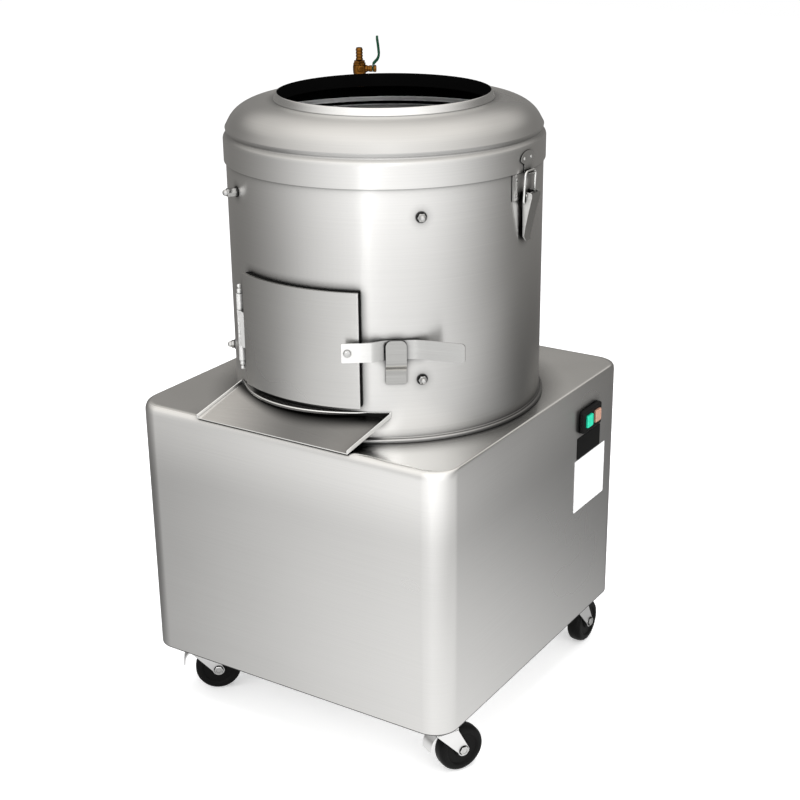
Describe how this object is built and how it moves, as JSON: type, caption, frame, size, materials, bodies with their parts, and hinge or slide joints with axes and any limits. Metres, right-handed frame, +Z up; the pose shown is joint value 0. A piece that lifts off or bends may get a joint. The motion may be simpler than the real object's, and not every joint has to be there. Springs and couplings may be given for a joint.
{
  "type": "potato peeler machine",
  "caption": "Floor-standing abrasive potato peeler: a steel drum with open-mouthed lid, side door and chute on a motor housing with swivel casters.",
  "frame": {"origin": "centre of the overall footprint at floor level, where the caster wheels stand", "axes": "+Z up, -Y the front with the discharge door and chute, +X the side with the switch"},
  "size_m": [0.5512, 0.592, 1.0041],
  "materials": {
    "abrasive": "coarse dark abrasive grit bonded on its carrier",
    "black_plastic": "black moulded plastic",
    "black_rubber": "matt black rubber",
    "brass": "plain brass, slightly dulled",
    "bright_steel": "bright turned or drawn steel",
    "cast_iron": "plain machined casting",
    "green_button": "glossy green",
    "green_vinyl": "green dipped vinyl over a steel lever",
    "motor_paint": "blue grey enamel",
    "red_button": "glossy faded red",
    "stainless": "satin brushed stainless sheet",
    "tyre": "black caster wheel",
    "zinc": "dull zinc plated pressed steel"
  },
  "bodies": {
    "frame": {"base_housing": "stainless", "base_plate": "zinc", "rear_cover": "stainless", "motor_bracket": "zinc", "motor": "motor_paint", "drain_pipe": "stainless", "cable_gland": "black_plastic", "switch_housing": "black_plastic", "bearing_housing": "cast_iron", "lower_bearing": "bright_steel", "upper_bearing": "bright_steel", "drum_shell": "stainless", "drum_floor": "stainless", "abrasive_liner": "abrasive", "drive_belt": "black_rubber", "latch_base_right": "stainless", "latch_base_left": "stainless", "hinge_leaf": "bright_steel", "hinge_pin": "bright_steel", "catch_hook": "stainless", "discharge_chute": "stainless", "door_seal": "black_rubber", "caster_plate_front_left": "zinc", "caster_plate_front_right": "zinc", "caster_plate_back_left": "zinc", "caster_plate_back_right": "zinc"},
    "lid": {"lid_hood": "stainless", "mouth_collar": "stainless", "lid_hook_right": "stainless", "lid_hook_left": "stainless", "valve_body": "brass", "hose_barb": "brass"},
    "valve_lever": {"valve_handle": "green_vinyl"},
    "lever_right": {"latch_lever_right": "stainless"},
    "lever_left": {"latch_lever_left": "stainless"},
    "bail_right": {"latch_bail_right": "bright_steel"},
    "bail_left": {"latch_bail_left": "bright_steel"},
    "door": {"door_panel": "stainless", "hinge_knuckle": "bright_steel", "strap_rivet": "bright_steel"},
    "strap": {"latch_strap": "stainless"},
    "turntable": {"abrasive_disc": "abrasive", "disc_nut": "bright_steel", "drive_shaft": "bright_steel", "large_pulley": "cast_iron"},
    "rotor": {"motor_shaft": "bright_steel", "motor_pulley": "cast_iron"},
    "start_plunger": {"start_button": "green_button"},
    "stop_plunger": {"stop_button": "red_button"},
    "swivel_front_left": {"caster_fork_front_left": "zinc"},
    "wheel_front_left": {"caster_wheel_front_left": "tyre"},
    "brake_front_left": {"caster_brake_front_left": "zinc"},
    "swivel_front_right": {"caster_fork_front_right": "zinc"},
    "wheel_front_right": {"caster_wheel_front_right": "tyre"},
    "brake_front_right": {"caster_brake_front_right": "zinc"},
    "swivel_back_left": {"caster_fork_back_left": "zinc"},
    "wheel_back_left": {"caster_wheel_back_left": "tyre"},
    "swivel_back_right": {"caster_fork_back_right": "zinc"},
    "wheel_back_right": {"caster_wheel_back_right": "tyre"}
  },
  "joints": [
    {"name": "lid_lift", "type": "slide", "parent": "frame", "child": "lid", "axis": [0, 0, 1], "range_m": [0, 0.12]},
    {"name": "valve_turn", "type": "hinge", "parent": "lid", "child": "valve_lever", "pos_m": [-0.10866, 0.11362, 0.95411], "axis": [-0.8406, -0.5417, 0], "range_deg": [0, 90]},
    {"name": "latch_open_right", "type": "hinge", "parent": "frame", "child": "lever_right", "pos_m": [0.24835, -0.0365, 0.8278], "axis": [0, -1, 0], "range_deg": [0, 110]},
    {"name": "bail_turn_right", "type": "hinge", "parent": "lever_right", "child": "bail_right", "pos_m": [0.24615, -0.0365, 0.8173], "axis": [0, -1, 0], "range_deg": [-110, 0]},
    {"name": "latch_open_left", "type": "hinge", "parent": "frame", "child": "lever_left", "pos_m": [-0.22965, -0.0365, 0.8278], "axis": [0, 1, 0], "range_deg": [0, 110]},
    {"name": "bail_turn_left", "type": "hinge", "parent": "lever_left", "child": "bail_left", "pos_m": [-0.22745, -0.0365, 0.8173], "axis": [0, 1, 0], "range_deg": [-110, 0]},
    {"name": "door_swing", "type": "hinge", "parent": "frame", "child": "door", "pos_m": [-0.10794, -0.24129, 0.583], "axis": [0, 0, -1], "range_deg": [0, 115]},
    {"name": "strap_lift", "type": "hinge", "parent": "door", "child": "strap", "pos_m": [0.09785, -0.27195, 0.638], "axis": [0.5878, -0.809, 0], "range_deg": [0, 45]},
    {"name": "motor_spin", "type": "hinge", "parent": "frame", "child": "rotor", "pos_m": [-0.13565, 0.1225, 0.371], "axis": [0, 0, 1], "continuous": true},
    {"name": "disc_spin", "type": "hinge", "parent": "frame", "child": "turntable", "pos_m": [0.00935, -0.0365, 0.371], "axis": [0, 0, 1], "continuous": true},
    {"name": "start_press", "type": "slide", "parent": "frame", "child": "start_plunger", "axis": [-1, 0, 0], "range_m": [0, 0.003], "stiffness_N_per_m": 400, "springref_m": -0.001},
    {"name": "stop_press", "type": "slide", "parent": "frame", "child": "stop_plunger", "axis": [-1, 0, 0], "range_m": [0, 0.003], "stiffness_N_per_m": 400, "springref_m": -0.001},
    {"name": "swivel_turn_front_left", "type": "hinge", "parent": "frame", "child": "swivel_front_left", "pos_m": [-0.22565, -0.241, 0.095], "axis": [0, 0, 1], "continuous": true},
    {"name": "wheel_roll_front_left", "type": "hinge", "parent": "swivel_front_left", "child": "wheel_front_left", "pos_m": [-0.20497, -0.22365, 0.0364], "axis": [0.6428, -0.766, 0], "continuous": true},
    {"name": "brake_press_front_left", "type": "hinge", "parent": "swivel_front_left", "child": "brake_front_left", "pos_m": [-0.23331, -0.24743, 0.0718], "axis": [0.6428, -0.766, 0], "range_deg": [0, 12]},
    {"name": "swivel_turn_front_right", "type": "hinge", "parent": "frame", "child": "swivel_front_right", "pos_m": [0.22935, -0.241, 0.095], "axis": [0, 0, 1], "continuous": true},
    {"name": "wheel_roll_front_right", "type": "hinge", "parent": "swivel_front_right", "child": "wheel_front_right", "pos_m": [0.24203, -0.21716, 0.0364], "axis": [0.8829, -0.4695, 0], "continuous": true},
    {"name": "brake_press_front_right", "type": "hinge", "parent": "swivel_front_right", "child": "brake_front_right", "pos_m": [0.22465, -0.24983, 0.0718], "axis": [0.8829, -0.4695, 0], "range_deg": [0, 12]},
    {"name": "swivel_turn_back_left", "type": "hinge", "parent": "frame", "child": "swivel_back_left", "pos_m": [-0.22565, 0.193, 0.095], "axis": [0, 0, 1], "continuous": true},
    {"name": "wheel_roll_back_left", "type": "hinge", "parent": "swivel_back_left", "child": "wheel_back_left", "pos_m": [-0.22565, 0.22, 0.0364], "axis": [1, 0, 0], "continuous": true},
    {"name": "swivel_turn_back_right", "type": "hinge", "parent": "frame", "child": "swivel_back_right", "pos_m": [0.22935, 0.193, 0.095], "axis": [0, 0, 1], "continuous": true},
    {"name": "wheel_roll_back_right", "type": "hinge", "parent": "swivel_back_right", "child": "wheel_back_right", "pos_m": [0.22935, 0.22, 0.0364], "axis": [1, 0, 0], "continuous": true}
  ],
  "couplings": [
    {"joint": "disc_spin", "follows": "motor_spin", "ratio": 0.4},
    {"joint": "bail_turn_right", "follows": "latch_open_right", "ratio": -1},
    {"joint": "bail_turn_left", "follows": "latch_open_left", "ratio": -1}
  ]
}
